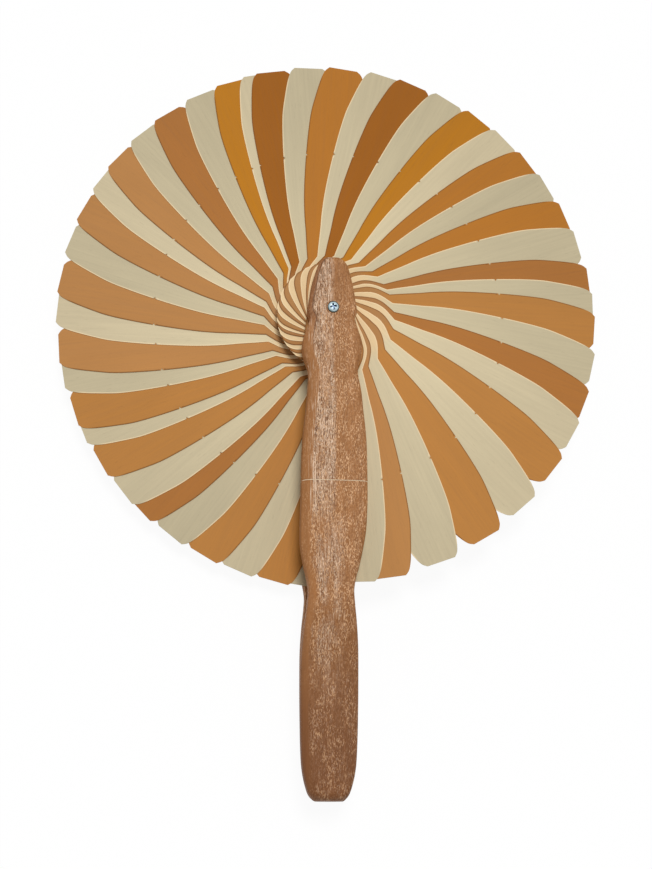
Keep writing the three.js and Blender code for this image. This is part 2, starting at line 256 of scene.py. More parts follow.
class FanPivotSettings(PropertyGroup):
    plating: paint("Plating", "Colour of the zinc plating", 186, 202, 206)
    # Painted shade round the rim of the screw's head.
    rim_shade: paint("Tarnish", "Colour of the plating round the rim of the head", 74, 92, 88)
    # Painted shade in the depth of the cross recess.
    recess: paint("Recess colour", "Colour in the depth of the cross recess", 40, 62, 92)
    head_radius: length("Head", "Radius of the screw's head", 3.1)
    recess_span: length("Recess", "Length of the cross recess", 4.2)
    facets: IntProperty(name="Facets", description="Steps round the turned pieces", default=72, min=16)


class FanStageSettings(PropertyGroup):
    floor: paint("Floor", "Colour of the floor", 255, 255, 255)
    key: FloatProperty(name="Key light", description="Strength of the lamp", default=2.1, min=0)
    fill: FloatProperty(name="Fill light", description="Strength of the light all round", default=0.34, min=0)
    keep_white: share("Keep white", "Share of the floor's shadow that the white ground hides", 0.94)


SETTINGS = {
    "hand_fan_blades": FanBladeSettings,
    "hand_fan_guards": FanGuardSettings,
    "hand_fan_thread": FanThreadSettings,
    "hand_fan_pivot": FanPivotSettings,
    "hand_fan_stage": FanStageSettings,
}


class Flow:
    """A value that runs through a material's nodes, for use in plain arithmetic."""

    def __init__(self, recipe, socket):
        self.recipe = recipe
        self.socket = socket

    def _math(self, operation, *values):
        """Add the Math node of one operation."""
        return self.recipe.add("ShaderNodeMath", {"operation": operation}, dict(enumerate(values)))

    def __add__(self, other):
        return self._math("ADD", self, other)

    def __radd__(self, other):
        return self._math("ADD", other, self)

    def __sub__(self, other):
        return self._math("SUBTRACT", self, other)

    def __rsub__(self, other):
        return self._math("SUBTRACT", other, self)

    def __mul__(self, other):
        return self._math("MULTIPLY", self, other)

    def __rmul__(self, other):
        return self._math("MULTIPLY", other, self)

    def __truediv__(self, other):
        return self._math("DIVIDE", self, other)

    def __rtruediv__(self, other):
        return self._math("DIVIDE", other, self)

    def __pow__(self, other):
        return self._math("POWER", self, other)

    def __abs__(self):
        return self._math("ABSOLUTE", self)

    def least(self, other):
        """The smaller of two values."""
        return self._math("MINIMUM", self, other)

    def most(self, other):
        """The larger of two values."""
        return self._math("MAXIMUM", self, other)


class Recipe:
    """The nodes that give a material its finish, or a world its light."""

    def __init__(self, holder):
        self.holder = holder
        self.holder.use_nodes = True
        self.tree = self.holder.node_tree
        self.tree.nodes.clear()

    def add(self, kind, settings=None, sockets=None, output=0):
        """Add a node from its type, its settings, and the values or links of its sockets."""
        node = self.tree.nodes.new(kind)
        for name, setting in (settings or {}).items():
            setattr(node, name, setting)
        for key, value in (sockets or {}).items():
            if isinstance(value, Flow):
                self.tree.links.new(value.socket, node.inputs[key])
            else:
                node.inputs[key].default_value = value
        return Flow(self, node.outputs[output]) if node.outputs else None

    def place(self):
        """Where a point lies on its own piece, in metres."""
        return self.add("ShaderNodeTexCoord", output="Object")

    def part_of(self, vector):
        """The X, Y and Z of a place, in millimetres."""
        node = self.add("ShaderNodeSeparateXYZ", sockets={0: vector}).socket.node
        return [Flow(self, socket) / MILLIMETRE for socket in node.outputs]

    def mark(self, name, output="Fac"):
        """A value that was stored with the mesh."""
        return self.add("ShaderNodeAttribute", {"attribute_name": name}, output=output)

    def stretched(self, vector, across, along, up):
        """A place scaled so that one step across, along and up is one unit of a pattern, in millimetres."""
        scale = [1 / (size * MILLIMETRE) for size in (across, along, up)]
        return self.add("ShaderNodeVectorMath", {"operation": "MULTIPLY"}, {0: vector, 1: scale})

    def noise(self, vector, seed, detail=2.0, roughness=0.5, distortion=0.0):
        """A cloudy pattern, the same size as the units of its place."""
        sockets = {"Vector": vector, "W": seed, "Scale": 1.0}
        sockets.update({"Detail": detail, "Roughness": roughness, "Distortion": distortion})
        return self.add("ShaderNodeTexNoise", {"noise_dimensions": "4D"}, sockets)

    def between(self, value, low, high):
        """How far a value has gone from one end to the other, from 0 to 1, softly."""
        sockets = {"Value": value, 1: low, 2: high}
        return self.add("ShaderNodeMapRange", {"interpolation_type": "SMOOTHSTEP"}, sockets)

    def mix(self, factor, first, second, blend="MIX"):
        """One colour laid over another."""
        settings = {"data_type": "RGBA", "blend_type": blend}
        colours = [value if isinstance(value, Flow) else (*value, 1) for value in (first, second)]
        return self.add("ShaderNodeMix", settings, {0: factor, 6: colours[0], 7: colours[1]}, 2)

    def grey(self, value):
        """A value as a colour, to brighten or darken another with."""
        return self.add("ShaderNodeCombineColor", sockets={0: value, 1: value, 2: value})

    def raised(self, height, distance):
        """The surface's slope where a pattern stands proud."""
        return self.add("ShaderNodeBump", sockets={"Strength": 1.0, "Distance": distance, "Height": height})

    def finish(self, **sockets):
        """Close the recipe with the surface's shader."""
        named = {name.replace("_", " "): value for name, value in sockets.items()}
        shader = self.add("ShaderNodeBsdfPrincipled", sockets=named)
        self.add("ShaderNodeOutputMaterial", sockets={"Surface": shader})
        return self.holder


# Wood, metal and thread.


def blade_wood(recipe, colour, hub, light, seed, place, fall):
    """The colour of a blade's face, with grain, slow changes along it and small pores."""
    along = recipe.part_of(place)[1]
    streaks = recipe.noise(recipe.stretched(place, 1.3, 46, 5), seed, 3.0, 0.55)
    clouds = recipe.noise(recipe.stretched(place, 11, 42, 9), seed + 7.0, 2.0)
    pores = recipe.noise(recipe.stretched(place, 0.5, 5.0, 2), seed + 3.0, 1.0)
    tinted = recipe.mix(recipe.between(0.0 - along, 35.0, 24.0) * 0.55, colour, hub)
    light = light + 0.06 - fall * recipe.between(0.0 - along, 10.0, 150.0)
    light = light + (streaks - 0.5) * 0.2 + (clouds - 0.5) * 0.14
    light = light - recipe.between(pores, 0.62, 0.78) * 0.09
    return recipe.mix(1.0, tinted, recipe.grey(light), "MULTIPLY"), streaks, pores


def make_blade_finish(name, hub, line, fall):
    """A blade's finish: its wood, and a line along its sides: painted shadow on a stained blade, the pale cut
    edge with a painted highlight on a pale blade.
    """
    recipe = Recipe(bpy.data.materials.new(name))
    place = recipe.mark("spot", "Vector")
    seed = recipe.mark("seed")
    shade = recipe.mark("shade", "Color")
    wood, streaks, pores = blade_wood(recipe, shade, hub, recipe.mark("light"), seed, place, fall)
    wander = (recipe.noise(recipe.stretched(place, 3, 3, 3), seed, 2.0) - 0.5) * 0.3
    # Painted shadow along a stained blade's edges, and on a pale blade its pale cut edge with a painted
    # highlight.
    beside = recipe.between(recipe.mark("edge") + wander, 0.75, 0.25)
    along = recipe.part_of(place)[1]
    beside = beside * recipe.between(0.0 - along, 147.0, 141.0)
    beside = beside * recipe.between(abs(along + NICK_REACH), 0.6, 1.6)
    return recipe.finish(
        Base_Color=recipe.mix(beside * 0.65, wood, line),
        Roughness=0.55 + (streaks - 0.5) * 0.18,
        Specular_IOR_Level=0.1,
        Normal=recipe.raised(streaks * 0.6 - pores * 0.4, 0.00006),
    )


def guard_figure(recipe, spread, reach, patches):
    """Where the pale figure of the guard lies: left of its middle, and in spots below that."""
    blade_half = recipe.between(abs(spread + 6.4), 7.8, 4.4) * recipe.between(reach, 126.0, 104.0)
    blade_half = blade_half * (0.45 + 0.55 * recipe.between(patches, 0.34, 0.5))
    handle_half = recipe.between(abs(spread + 3.0), 11.0, 5.0) * recipe.between(reach, 112.0, 130.0)
    handle_half = handle_half * recipe.between(reach, 225.0, 150.0) * recipe.between(patches, 0.36, 0.56)
    return blade_half + handle_half * 0.7


def worm_marks(recipe, place, seed, across, along):
    """Short winding marks that run with the grain."""
    swirl = recipe.noise(recipe.stretched(place, across, along, 3), seed, 1.0, 0.4, 0.5)
    gaps = recipe.noise(recipe.stretched(place, across, along * 0.45, 3), seed + 1.0, 1.0)
    return recipe.between(abs(swirl - 0.5), 0.06, 0.025) * recipe.between(gaps, 0.46, 0.52)


def guard_ground(recipe, settings, reach, worn, rounded, figure):
    """The guards' wood before its grain: the handle darkened by hands, the rounded left edge with painted
    shade beside the head, the figure.
    """
    wood = recipe.mix(worn, settings.heart, settings.grip)
    wood = recipe.mix(rounded * (1.0 - worn) * 0.7, wood, settings.bevel)
    # Painted shade on the rounded left edge beside the head.
    shade = rounded * recipe.between(reach, 14.0, 2.0)
    wood = recipe.mix(shade * 0.75, wood, settings.shade)
    return recipe.mix(figure * 0.7, wood, settings.silver)


def guard_flecks(recipe, place, seed, spread, reach, figure, crowd, hairs):
    """How strongly the pale flecks lie over the guards' wood."""
    streaks = recipe.noise(recipe.stretched(place, 0.6, 15, 3), seed + 13.0, 2.0)
    ray = recipe.between(streaks, 0.55, 0.59)
    fleck = recipe.between(hairs, 0.55, 0.59) * figure * (0.55 + 0.45 * ray)
    fleck = fleck + ray * figure * 0.4
    fleck = fleck + worm_marks(recipe, place, seed + 17.0, 0.8, 3.4) * (figure + 0.2 * crowd)
    beside = recipe.between(abs(spread + 12.3), 2.6, 1.0) * recipe.between(abs(reach - 62.0), 60.0, 46.0)
    fleck = fleck + recipe.between(streaks, 0.56, 0.64) * beside
    return fleck.least(1.0)


def make_guard_finish(settings):
    """The guards' wood: a pale figure left of the middle, small flecks, and a handle darkened by hands."""
    recipe = Recipe(bpy.data.materials.new("guard_wood"))
    place = recipe.place()
    seed = recipe.mark("seed")
    reach = 0.0 - recipe.part_of(place)[1]
    edge = recipe.mark("edge")
    spread = recipe.mark("spread")
    left = recipe.between(spread, 0.0, -1.0)
    grain = recipe.noise(recipe.stretched(place, 0.9, 34, 3), seed, 4.0, 0.6)
    bands = recipe.noise(recipe.stretched(place, 4.2, 120, 9), seed + 5.0, 3.0)
    hairs = recipe.noise(recipe.stretched(place, 0.45, 5.5, 1.6), seed + 2.0, 2.0, 0.6, 0.3)
    patches = recipe.noise(recipe.stretched(place, 6, 22, 9), seed + 4.0, 2.0)
    clumps = recipe.noise(recipe.stretched(place, 5, 11, 9), seed + 8.0, 1.0)
    round_width = 1.9 + 3.4 * recipe.between(reach, -5.0, 24.0) - 1.7 * recipe.between(reach, 116.0, 146.0)
    rounded = recipe.between(edge - round_width, 0.5, -0.6) * left
    figure = guard_figure(recipe, spread, reach, patches) * (1.0 - rounded * 0.9)
    worn = recipe.between(reach + (patches - 0.5) * 30.0, 112.0, 246.0)
    light = 1.0 + (grain - 0.5) * 0.45 + (bands - 0.5) * 0.4
    wood = guard_ground(recipe, settings, reach, worn, rounded, figure)
    wood = recipe.mix(1.0, wood, recipe.grey(light), "MULTIPLY")
    open_face = 1.0 - rounded * 0.7
    pore = recipe.between(hairs, 0.47, 0.39) * (0.25 + 0.45 * figure) * open_face
    wood = recipe.mix(pore, wood, settings.pore)
    crowd = (0.25 + 0.75 * recipe.between(clumps, 0.36, 0.54)) * open_face
    crowd = crowd * (1.0 - worn * recipe.between(spread, -9.0, -12.5))
    crowd = crowd * (1.0 - 0.6 * recipe.between(reach, 2.0, -9.0))
    scar = worm_marks(recipe, place, seed + 21.0, 0.9, 3.0) * (0.35 + 0.4 * figure) * open_face
    wood = recipe.mix(scar, wood, settings.pore)
    ember = worm_marks(recipe, place, seed + 9.0, 0.75, 3.2) * crowd * (0.95 - 0.5 * worn)
    wood = recipe.mix(ember * 0.85, wood, settings.ember)
    fleck = guard_flecks(recipe, place, seed, spread, reach, figure, crowd, hairs)
    wood = recipe.mix(fleck * 0.8, wood, settings.fleck)
    crease = recipe.between(abs(edge - round_width + (patches - 0.5) * 1.5), 0.55, 0.2) * left
    crease = crease * recipe.between(reach, 30.0, 8.0)
    return recipe.finish(
        Base_Color=recipe.mix(crease * 0.7, wood, settings.pore),
        Roughness=0.62 - fleck * 0.15,
        Specular_IOR_Level=0.15,
        Normal=recipe.raised(grain * 0.4 + fleck * 0.4 - pore * 0.8 - crease * 0.6, 0.00025),
    )


def make_plating_finish(settings):
    """Zinc plating, a little clouded and scratched, with painted shade round the rim of the head and in the
    recess.
    """
    recipe = Recipe(bpy.data.materials.new("zinc_plating"))
    place = recipe.place()
    across, along, up = recipe.part_of(place)
    clouds = recipe.noise(recipe.stretched(place, 1.2, 1.2, 1.2), 1.0, 3.0)
    scratches = recipe.noise(recipe.stretched(place, 0.12, 2.0, 0.5), 4.0, 2.0)
    tone = recipe.mix(recipe.between(clouds, 0.35, 0.7) * 0.5, settings.plating, linear(128, 150, 160))
    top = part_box("pivot_screw")[1].z / MILLIMETRE
    radius = (across * across + along * along) ** 0.5
    # Painted shade round the rim of the head.
    rim = recipe.between(radius + (clouds - 0.5) * 0.8, 2.3, 2.9) * recipe.between(up, top - 4.0, top - 3.0)
    tone = recipe.mix(rim * 0.8, tone, settings.rim_shade)
    # Painted shade in the depth of the cross recess, which also takes away some of its metal look.
    deep = recipe.between(up, top - 0.25, top - 0.6) * recipe.between(radius, 2.2, 1.9)
    tone = recipe.mix(deep * 0.9, tone, settings.recess)
    return recipe.finish(
        Base_Color=tone,
        Metallic=1.0 - deep * 0.6,
        Roughness=0.24 + clouds * 0.2,
        Normal=recipe.raised(scratches * 0.5 + clouds * 0.3, 0.00003),
    )


def make_cotton_finish(settings):
    """Cotton thread, with soft fibres and a little dust."""
    recipe = Recipe(bpy.data.materials.new("cotton_thread"))
    place = recipe.place()
    fibres = recipe.noise(recipe.stretched(place, 0.12, 0.12, 0.5), 2.0, 3.0)
    dust = recipe.noise(recipe.stretched(place, 6, 6, 6), 5.0, 2.0)
    light = 1.0 + (fibres - 0.5) * 0.4
    tone = recipe.mix(recipe.between(dust, 0.5, 0.75) * 0.4, settings.cotton, linear(196, 158, 122))
    tone = recipe.mix(1.0, tone, recipe.grey(light), "MULTIPLY")
    return recipe.finish(Base_Color=tone, Roughness=0.9, Normal=recipe.raised(fibres, 0.00004))


# Rows of points and meshes.


def smooth_row(points, steps):
    """A smooth row through points, with some steps from each point to the next."""
    rows = [Vector(point) for point in points]
    first = rows[0] * 2 - rows[1]
    last = rows[-1] * 2 - rows[-2]
    padded = [first, *rows, last]
    smooth = []
    for index in range(1, len(rows)):
        before, start, end, after = padded[index - 1:index + 3]
        lengths = [math.sqrt((b - a).length) for a, b in ((before, start), (start, end), (end, after))]
        leaving = row_slope(before, start, end, lengths[0], lengths[1]) * lengths[1]
        arriving = row_slope(start, end, after, lengths[1], lengths[2]) * lengths[1]
        for step in range(steps):
            smooth.append(hermite(start, end, leaving, arriving, step / steps))
    return [*smooth, rows[-1]]


def row_slope(before, here, after, arriving, leaving):
    """The direction of a smooth row at a point, from its neighbours and the spacing to them."""
    return (here - before) / arriving - (after - before) / (arriving + leaving) + (after - here) / leaving


def hermite(start, end, leaving, arriving, part):
    """A point on the curve that leaves one point in a direction and arrives at the next in another."""
    square = part * part
    cube = square * part
    return (
        start * (2 * cube - 3 * square + 1)
        + leaving * (cube - 2 * square + part)
        + end * (3 * square - 2 * cube)
        + arriving * (cube - square)
    )


def width_at(row, reach):
    """The half-width at a reach, along a row of outline points."""
    for before, after in zip(row, row[1:]):
        if before[0] <= reach <= after[0]:
            part = (reach - before[0]) / (after[0] - before[0])
            return before[1] + (after[1] - before[1]) * part
    raise ValueError(f"the outline doesn't reach {reach}")


def soft_step(value, low, high):
    """0 at low and 1 at high, with a smooth rise between them. The low value may be the larger one."""
    part = min(max((value - low) / (high - low), 0), 1)
    return part * part * (3 - 2 * part)


def mesh_from(name, points, faces, marks=None):
    """A mesh from points in millimetres, with its doubled points joined and its faces turned outwards."""
    mesh = bpy.data.meshes.new(name)
    mesh.from_pydata([Vector(point) * MILLIMETRE for point in points], [], faces)
    for mark, values in (marks or {}).items():
        mesh.attributes.new(mark, "FLOAT", "POINT").data.foreach_set("value", values)
    shape = bmesh.new()
    shape.from_mesh(mesh)
    bmesh.ops.remove_doubles(shape, verts=shape.verts, dist=0.000001)
    bmesh.ops.dissolve_degenerate(shape, dist=1e-7, edges=shape.edges)
    bmesh.ops.recalc_face_normals(shape, faces=shape.faces)
    shape.to_mesh(mesh)
    shape.free()
    return mesh


def add_piece(name, mesh, material, body, stands_for, place=None):
    """Put a mesh in the scene as a piece that moves with a body and stands for nodes of the frame."""
    mesh.materials.clear()
    mesh.materials.append(material)
    piece = bpy.data.objects.new(name, mesh)
    bpy.context.scene.collection.objects.link(piece)
    if place:
        piece.matrix_world = place
    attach(piece, body)
    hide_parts(*stands_for)
    return piece


def soften(mesh, degrees):
    """Shade a mesh smooth, apart from its edges that are sharper than an angle."""
    mesh.shade_smooth()
    mesh.set_sharp_from_angle(angle=math.radians(degrees))


def cut_away(mesh, cutters):
    """Cut meshes out of another and give back the result."""
    piece = bpy.data.objects.new("work", mesh)
    bpy.context.scene.collection.objects.link(piece)
    tools = []
    for cutter in cutters:
        tool = bpy.data.objects.new("cutter", cutter)
        bpy.context.scene.collection.objects.link(tool)
        change = piece.modifiers.new("cut", "BOOLEAN")
        change.object = tool
        change.operation = "DIFFERENCE"
        change.solver = "EXACT"
        tools.append(tool)
    bpy.context.view_layer.update()
    shown = piece.evaluated_get(bpy.context.evaluated_depsgraph_get())
    result = bpy.data.meshes.new_from_object(shown)
    for spare in (piece, *tools):
        bpy.data.objects.remove(spare)
    if not result.polygons:
        raise RuntimeError(f"cutting {mesh.name} left nothing")
    return result


def turned_mesh(name, profile, facets):
    """A closed profile of (radius, level) points turned round the pivot axis."""
    points = []
    faces = []
    for step in range(facets):
        turn = 2 * math.pi * step / facets
        points += [(radius * math.cos(turn), radius * math.sin(turn), level) for radius, level in profile]
    rows = len(profile)
    for step in range(facets):
        here = step * rows
        there = ((step + 1) % facets) * rows
        for row in range(rows):
            after = (row + 1) % rows
            faces.append((here + row, there + row, there + after, here + after))
    return mesh_from(name, points, faces)


def post_mesh(name, radius, low, high, facets):
    """An upright post on the pivot axis."""
    return turned_mesh(name, [(0, low), (radius, low), (radius, high), (0, high)], facets)


# Blades.


def blade_outline():
    """The smooth outline of one side of a blade, with its nick."""
    row = [tuple(point) for point in smooth_row(BLADE_HEAD, 4)[:-1] + smooth_row(BLADE_LEAF, 5)]
    edge = width_at(row, NICK_REACH)
    near, far = NICK_REACH - NICK_WIDTH / 2, NICK_REACH + NICK_WIDTH / 2
    nick = [(near, width_at(row, near)), (NICK_REACH, edge - NICK_DEPTH), (far, width_at(row, far))]
    return [*[point for point in row if point[0] < near], *nick, *[point for point in row if point[0] > far]]


def covered_side(outline):
    """The left side of a blade, which its neighbour covers: the same outline, a little slimmer."""
    side = []
    for reach, width in outline:
        inset = COVERED_INSET * soft_step(reach, 3.0, 20.5) * soft_step(reach, TIP_CORNER_REACH, 103.0)
        side.append((reach, width - inset))
    return side


def blade_rows(outline):
    """Rows across a blade: reach and inner half-width, from its head to its tip."""
    bore = [-BLADE_BORE * math.cos(math.pi * step / 10) for step in range(11)]
    reaches = sorted([*[reach for reach, _ in outline if abs(reach) > BLADE_BORE], *bore])
    return [(reach, math.sqrt(max(BLADE_BORE**2 - reach**2, 0))) for reach in reaches]


def to_edge(spot, outline):
    """How far a spot inside a blade's outline lies from the outline."""
    ends = [(outline[0][0], 0), *outline, (outline[-1][0], 0)]
    here = Vector((spot[0], abs(spot[1])))
    nearest = 1e9
    for start, end in zip(ends, ends[1:]):
        start, way = Vector(start), Vector(end) - Vector(start)
        part = min(max((here - start).dot(way) / way.length_squared, 0), 1)
        nearest = min(nearest, (here - start - way * part).length)
    return nearest


def slanted(across, reach):
    """A place on a blade, moved towards the pivot or away from it by the slant of its end."""
    part = max(reach - TIP_CORNER_REACH, 0) / (BLADE_LEAF[-1][0] - TIP_CORNER_REACH)
    return -reach - TIP_SLANT * part * min(max(across / BLADE_LEAF[-1][1], -1), 1)


def blade_mesh(thickness, edge_break):
    """A flat blade with its tip towards -Y and its back on the ground, its edges slightly broken."""
    outline = blade_outline()
    rows = blade_rows(outline)
    points = []
    edges = []
    faces = []
    for reach, inner in rows:
        end = min(max(reach, rows[0][0] + edge_break), rows[-1][0] - edge_break)
        for side, line in ((-1, covered_side(outline)), (1, outline)):
            outer = width_at(line, reach)
            inset = max(outer - edge_break, inner)
            lined = max(outer - LINE_INSET, inner)
            low = [(inner, end, 0), (lined, end, 0), (inset, end, 0), (outer, reach, edge_break)]
            ring = [*low, *[(across, along, thickness - up) for across, along, up in low[::-1]]]
            points += [(side * across, slanted(side * across, along), up) for across, along, up in ring]
            edges += [to_edge((along, across), line) for across, along, _ in ring]
    for row in range(len(rows) - 1):
        for side in range(2):
            here = (row * 2 + side) * 8
            there = here + 16
            spans = [(a, a + 1) for a in range(7)]
            if rows[row][1] or rows[row + 1][1]:
                spans.append((7, 0))
            for a, b in spans:
                faces.append((here + a, here + b, there + b, there + a))
    last = (len(rows) - 1) * 16
    for ring in (0, last):
        for a in range(1, 6):
            faces.append((ring + a, ring + a + 1, ring + 8 + a + 1, ring + 8 + a))
    mesh = mesh_from("blade", points, faces, {"edge": edges})
    spots = [part for vertex in mesh.vertices for part in vertex.co]
    mesh.attributes.new("spot", "FLOAT_VECTOR", "POINT").data.foreach_set("vector", spots)
    return mesh


def blade_turn(node):
    """How far round the pivot a blade of the frame points, from -Y: its farthest corner is the right one."""
    spots = [vertex.co.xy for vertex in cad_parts[node].data.vertices]
    corner = max(spots, key=lambda spot: spot.length)
    reach, half_width = BLADE_LEAF[-1]
    return math.atan2(corner.x, -corner.y) - math.atan2(half_width, reach + TIP_SLANT)


def shade_of(number, settings):
    """The colour of a blade: the plain one of its kind, or its own shade."""
    for shade, numbers in SHADED_BLADES.items():
        if number in numbers:
            return getattr(settings, shade)
    return settings.pale if number % 2 else settings.stain


class HAND_FAN_OT_blades(Operator):
    """Make the forty-eight blades, each on its own turn"""

    bl_idname = "hand_fan.blades"
    bl_label = "Blades"

    def execute(self, context):
        settings = context.scene.hand_fan_blades
        dice = random.Random(48)
        low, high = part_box(BLADE_NAMES[0])
        thickness = (high.z - low.z) / MILLIMETRE
        pattern = blade_mesh(thickness, settings.edge_break / MILLIMETRE)
        stained = (settings.stained_hub, settings.stained_edge_shadow, settings.stained_fall)
        pale = (settings.pale_hub, settings.pale_edge_highlight, settings.pale_fall)
        finishes = [make_blade_finish("stained_blade", *stained), make_blade_finish("pale_blade", *pale)]
        for number, name in enumerate(BLADE_NAMES):
            mesh = pattern.copy()
            mesh.name = f"{name}_wood"
            count = len(mesh.vertices)
            shade = [*shade_of(number, settings), 1]
            light = 1 + dice.uniform(-0.03, 0.03)
            mesh.attributes.new("shade", "FLOAT_COLOR", "POINT").data.foreach_set("color", shade * count)
            mesh.attributes.new("light", "FLOAT", "POINT").data.foreach_set("value", [light] * count)
            mesh.attributes.new("seed", "FLOAT", "POINT").data.foreach_set("value", [number * 3.7] * count)
            turned = Matrix.Rotation(blade_turn(name), 4, "Z")
            mesh.transform(Matrix.Translation((0, 0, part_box(name)[0].z)) @ turned)
            add_piece(f"{name}_leaf", mesh, finishes[number % 2], name, [name])
        return {"FINISHED"}


# Guards.


def guard_middle(reach):
    """How far the hand-cut guard's middle swings to one side."""
    return GUARD_SWAY * (soft_step(reach, 23.0, 51.0) - soft_step(reach, 103.5, 138.5))


def guard_crank(reach):
    """How far the handle half is bent towards the other guard."""
    return CRANK_DROP * soft_step(reach, CRANK_START, CRANK_END)


def guard_height(reach):
    """How thick the guard is at a reach: it falls off roundly towards its two ends."""
    to_end = min(reach - GUARD_SIDE[0][0], GUARD_SIDE[-1][0] - reach)
    inside = min(max(1 - to_end / GUARD_END_ROUND, 0), 1)
    return GUARD_HEIGHT - GUARD_END_ROUND * (1 - math.sqrt(1 - inside**2))


def guard_side(half_width, height, round_width, inner_round):
    """One side of a guard's cross-section, from its inner face up to the crease of its rounded edge."""
    wide = min(round_width, half_width * 0.6)
    tall = min(0.45 * round_width + 2.0, height * 0.6)
    points = []
    for step in range(4):
        turn = math.pi / 2 * step / 3
        points.append((half_width - inner_round * (1 - math.sin(turn)), inner_round * (1 - math.cos(turn))))
    for out in (1, 0.985, 0.94, 0.86, 0.74, 0.6, 0.42, 0.24, 0.08, 0):
        drop = tall * (0.42 * out + 0.58 * (1 - math.sqrt(1 - out * out)))
        points.append((half_width - wide * (1 - out), height - drop))
    return points


def guard_loop(reach, half_width, settings, inset=0.0):
    """A guard's whole cross-section at a reach, with its inner face on the ground."""
    height = guard_height(reach)
    inner = settings.inner_round / MILLIMETRE
    crown = settings.crown / MILLIMETRE * min(half_width / 15, 1)
    wide = settings.left_round / MILLIMETRE * (0.5 + 0.5 * soft_step(reach, -5.0, 24.0))
    right = guard_side(half_width, height - crown, settings.right_round / MILLIMETRE, inner)
    left = guard_side(half_width, height - crown, wide, inner)
    low, high = -left[-1][0], right[-1][0]
    top = []
    for step in (0.96, 0.85, 0.7, 0.55, 0.4, 0.25, 0.12, 0.04):
        across = low + (high - low) * step
        top.append((across, height - crown * (2 * step - 1) ** 2))
    loop = [Vector(point) for point in [*right, *top, *[(-x, z) for x, z in left[::-1]]]]
    return loop if inset == 0 else [shrunk(loop, corner, inset) for corner in range(len(loop))]


def shrunk(loop, corner, inset):
    """A corner of a loop, moved in by a distance."""
    before = (loop[corner] - loop[corner - 1]).normalized()
    after = (loop[(corner + 1) % len(loop)] - loop[corner]).normalized()
    out = Vector((before.y + after.y, -before.x - after.x)).normalized()
    return loop[corner] - out * (inset / max(before.dot(after) / 2 + 0.5, 0.3) ** 0.5)


def guard_rings():
    """The guard's outline row with its groove and its broken ends: reach, half-width and inset."""
    row = [tuple(point) for point in smooth_row(GUARD_SIDE, 6)]
    width = width_at(row, THREAD_REACH)
    near, far = THREAD_REACH - GROOVE_HALF, THREAD_REACH + GROOVE_HALF
    groove = [(near, width, 0.0), (near, width, GROOVE_DEPTH), (far, width, GROOVE_DEPTH), (far, width, 0.0)]
    head, end = row[0], row[-1]
    before = [(reach, half, 0.0) for reach, half in row[1:] if reach < near - 0.1]
    after = [(reach, half, 0.0) for reach, half in row[:-1] if reach > far + 0.1]
    head_break = [(head[0], head[1], 0.5), (head[0] + 0.15, width_at(row, head[0] + 0.15), 0.2)]
    end_break = [(end[0] - 0.15, width_at(row, end[0] - 0.15), 0.2), (end[0], end[1], 0.5)]
    return [*head_break, *before, *groove, *after, *end_break]


def guard_mesh(settings):
    """A guard with its flat inner face on the ground, its tip towards -Y and its outer face up."""
    points = []
    faces = []
    edges = []
    spreads = []
    rings = guard_rings()
    for reach, half_width, inset in rings:
        loop = guard_loop(reach, half_width, settings, inset)
        points += [(x + guard_middle(reach), -reach, z - guard_crank(reach)) for x, z in loop]
        edges += [half_width - abs(x) for x, z in loop]
        spreads += [x for x, z in loop]
    around = len(points) // len(rings)
    for ring in range(len(rings) - 1):
        for corner in range(around):
            here = ring * around + corner
            beside = ring * around + (corner + 1) % around
            faces.append((here, beside, beside + around, here + around))
    faces.append(tuple(range(around)))
    faces.append(tuple(range(len(points) - around, len(points))))
    return mesh_from("guard", points, faces, {"edge": edges, "spread": spreads})


def guard_piece_mesh(settings, seed, seat_radius, seat_low):
    """A guard with its bore, and the seat or pocket in its outer face."""
    bore = post_mesh("bore", BLADE_BORE, -2, GUARD_HEIGHT + 2, 48)
    seat = post_mesh("seat", seat_radius, seat_low, GUARD_HEIGHT + 2, 64)
    mesh = cut_away(guard_mesh(settings), [bore, seat])
    mesh.attributes.new("seed", "FLOAT", "POINT").data.foreach_set("value", [seed] * len(mesh.vertices))
    soften(mesh, 35)
    return mesh


def turned_over():
    """The place of a piece made for the front guard, when it serves the rear guard."""
    return Matrix.Translation((0, 0, GUARD_HEIGHT * MILLIMETRE)) @ Matrix.Rotation(math.pi, 4, "Y")


def in_front():
    """The place of a piece made with its inner face on the ground, when it serves the front guard."""
    return Matrix.Translation((0, 0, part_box("front_guard")[1].z - GUARD_HEIGHT * MILLIMETRE))


class HAND_FAN_OT_guards(Operator):
    """Make the front and the rear guard, whose long ends are the handle"""

    bl_idname = "hand_fan.guards"
    bl_label = "Guards"

    def execute(self, context):
        settings = context.scene.hand_fan_guards
        wood = make_guard_finish(settings)
        front = guard_piece_mesh(settings, 0.0, SCREW_SEAT_RADIUS, GUARD_HEIGHT - SCREW_SEAT_DEPTH)
        rear = guard_piece_mesh(settings, 21.0, NUT_POCKET_RADIUS, GUARD_HEIGHT - NUT_POCKET_DEPTH)
        rear.transform(Matrix.Rotation(-REAR_TURN, 4, "Z"))
        add_piece("front_guard_stick", front, wood, "front_guard", ["front_guard"], in_front())
        add_piece("rear_guard_stick", rear, wood, "rear_guard", ["rear_guard"], turned_over())
        return {"FINISHED"}


# Thread.


def evenly(loop, spacing):
    """Points at an even spacing round a closed loop."""
    closed = [*loop, loop[0]]
    total = sum((b - a).length for a, b in zip(closed, closed[1:]))
    count = round(total / spacing)
    spots = []
    travelled = 0.0
    wanted = 0.0
    for a, b in zip(closed, closed[1:]):
        stretch = (b - a).length
        while wanted < travelled + stretch - 1e-9 and len(spots) < count:
            spots.append(a.lerp(b, (wanted - travelled) / stretch))
            wanted += total / count
        travelled += stretch
    return spots


